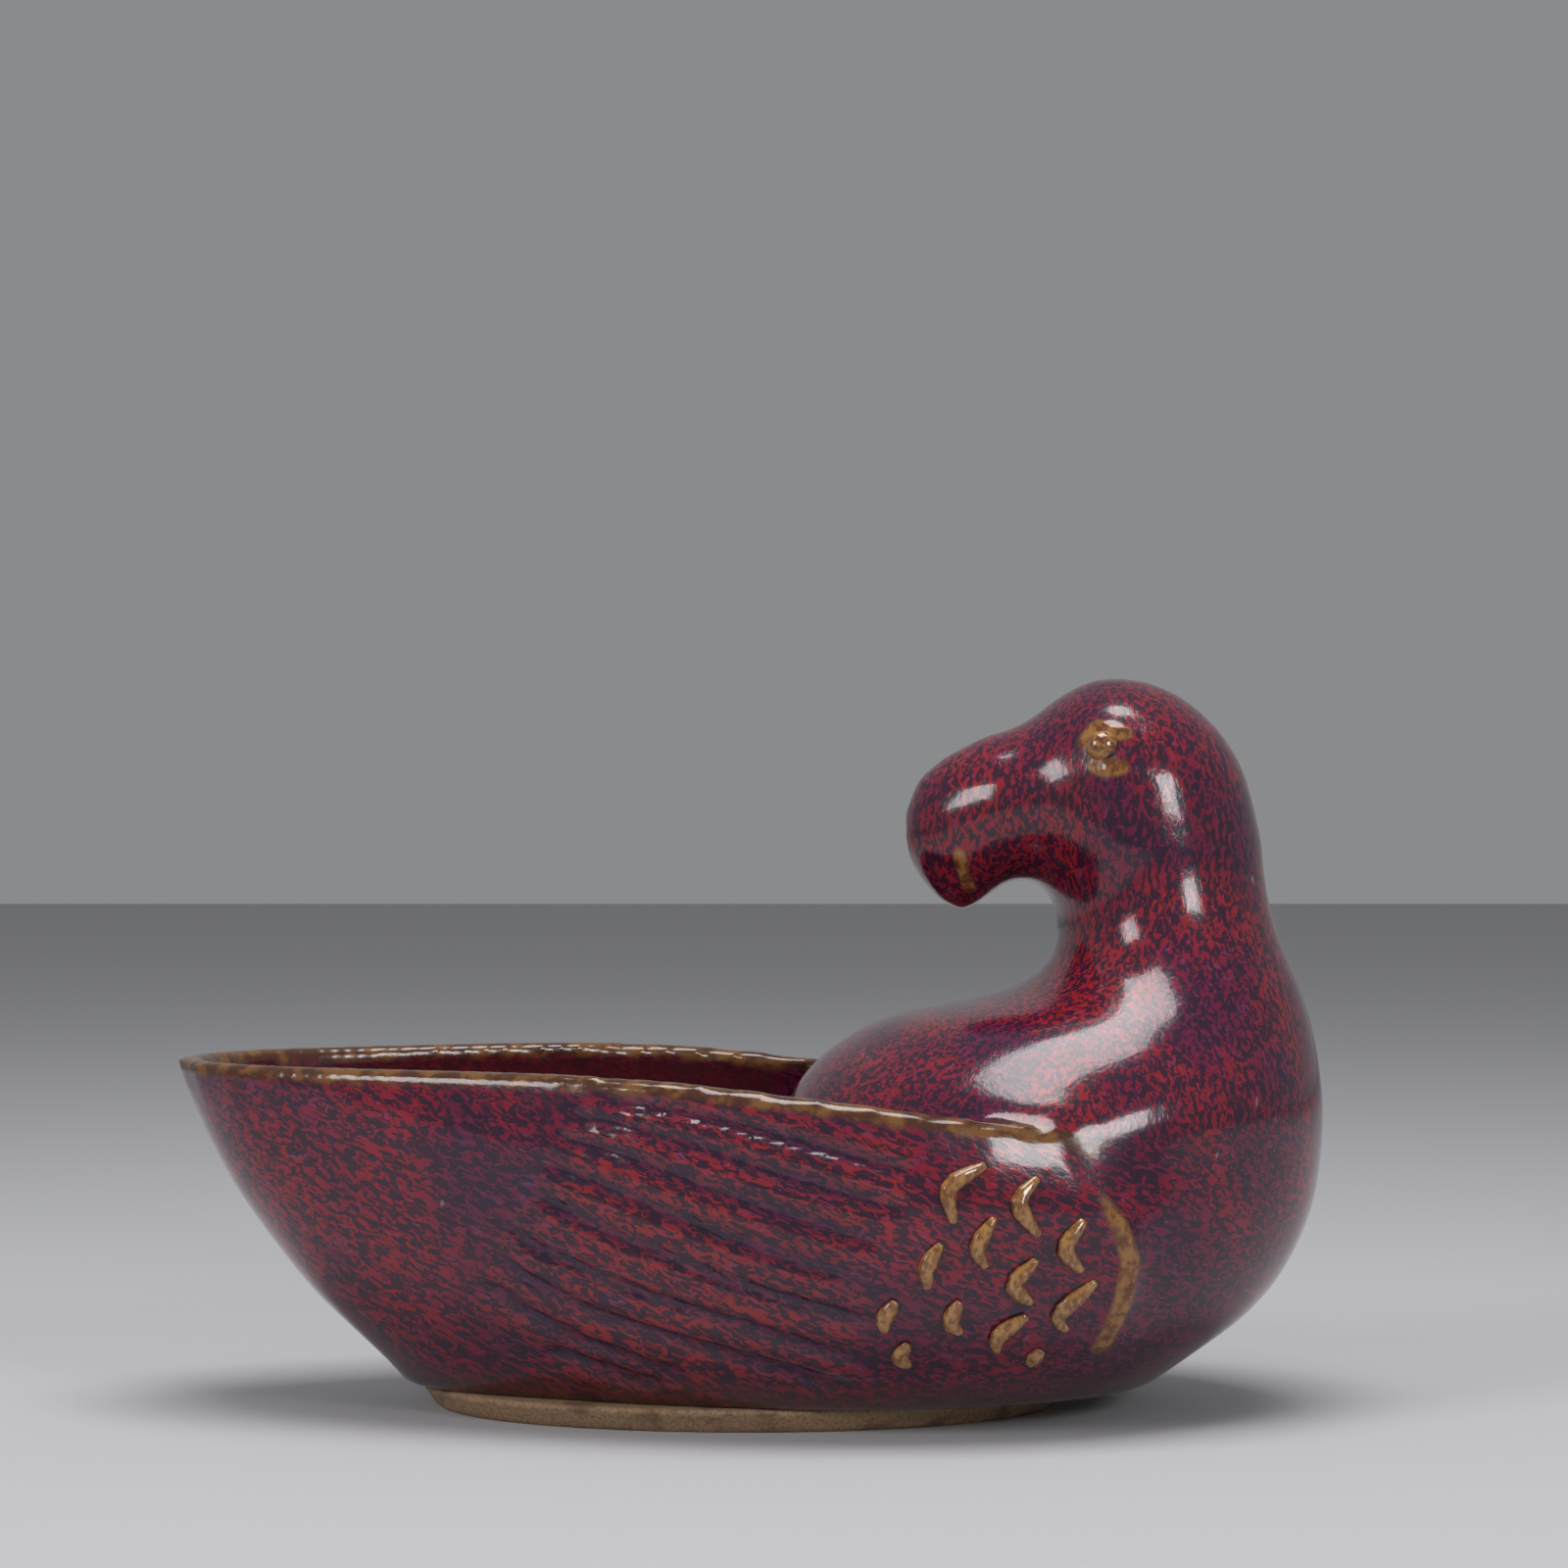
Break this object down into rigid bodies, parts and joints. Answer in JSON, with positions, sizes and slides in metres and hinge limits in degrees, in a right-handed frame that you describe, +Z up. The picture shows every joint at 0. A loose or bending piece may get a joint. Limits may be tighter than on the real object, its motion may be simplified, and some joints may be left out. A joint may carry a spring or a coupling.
{
  "type": "brush washer",
  "caption": "Glazed stoneware brush washer in the shape of a parrot, its wings and tail forming a basin and its head turned back over the water.",
  "frame": {"origin": "centre of the bounding box in plan, on the plane that the foot stands on", "axes": "+X from the tail to the breast, along the longest extent; +Z up; +Y to the bird's left"},
  "size_m": [0.1912, 0.11, 0.1204],
  "materials": {
    "red_glaze": "thick streaked red and purple glaze, very glossy",
    "gold_glaze": "thin golden-brown glaze over raised clay",
    "amber_glaze": "amber glazed eye",
    "bare_clay": "unglazed fired clay"
  },
  "bodies": {
    "root": {"back_mound": "red_glaze", "basin_left": "red_glaze", "basin_right": "red_glaze", "beak": "red_glaze", "covert_feather_left_01": "gold_glaze", "covert_feather_left_02": "gold_glaze", "covert_feather_left_03": "gold_glaze", "covert_feather_left_04": "gold_glaze", "covert_feather_left_05": "gold_glaze", "covert_feather_left_06": "gold_glaze", "covert_feather_left_07": "gold_glaze", "covert_feather_left_08": "gold_glaze", "covert_feather_left_09": "gold_glaze", "covert_feather_left_10": "gold_glaze", "covert_feather_left_11": "gold_glaze", "covert_feather_left_12": "gold_glaze", "covert_feather_right_01": "gold_glaze", "covert_feather_right_02": "gold_glaze", "covert_feather_right_03": "gold_glaze", "covert_feather_right_04": "gold_glaze", "covert_feather_right_05": "gold_glaze", "covert_feather_right_06": "gold_glaze", "covert_feather_right_07": "gold_glaze", "covert_feather_right_08": "gold_glaze", "covert_feather_right_09": "gold_glaze", "covert_feather_right_10": "gold_glaze", "covert_feather_right_11": "gold_glaze", "covert_feather_right_12": "gold_glaze", "eye_pellet_left": "amber_glaze", "eye_pellet_right": "amber_glaze", "foot_ring": "bare_clay", "head_shell": "red_glaze", "lower_lid_left": "red_glaze", "lower_lid_right": "red_glaze", "neck_shell_left": "red_glaze", "neck_shell_right": "red_glaze", "shoulder_ridge_left": "gold_glaze", "shoulder_ridge_right": "gold_glaze", "upper_lid_left": "red_glaze", "upper_lid_right": "red_glaze"}
  },
  "joints": []
}
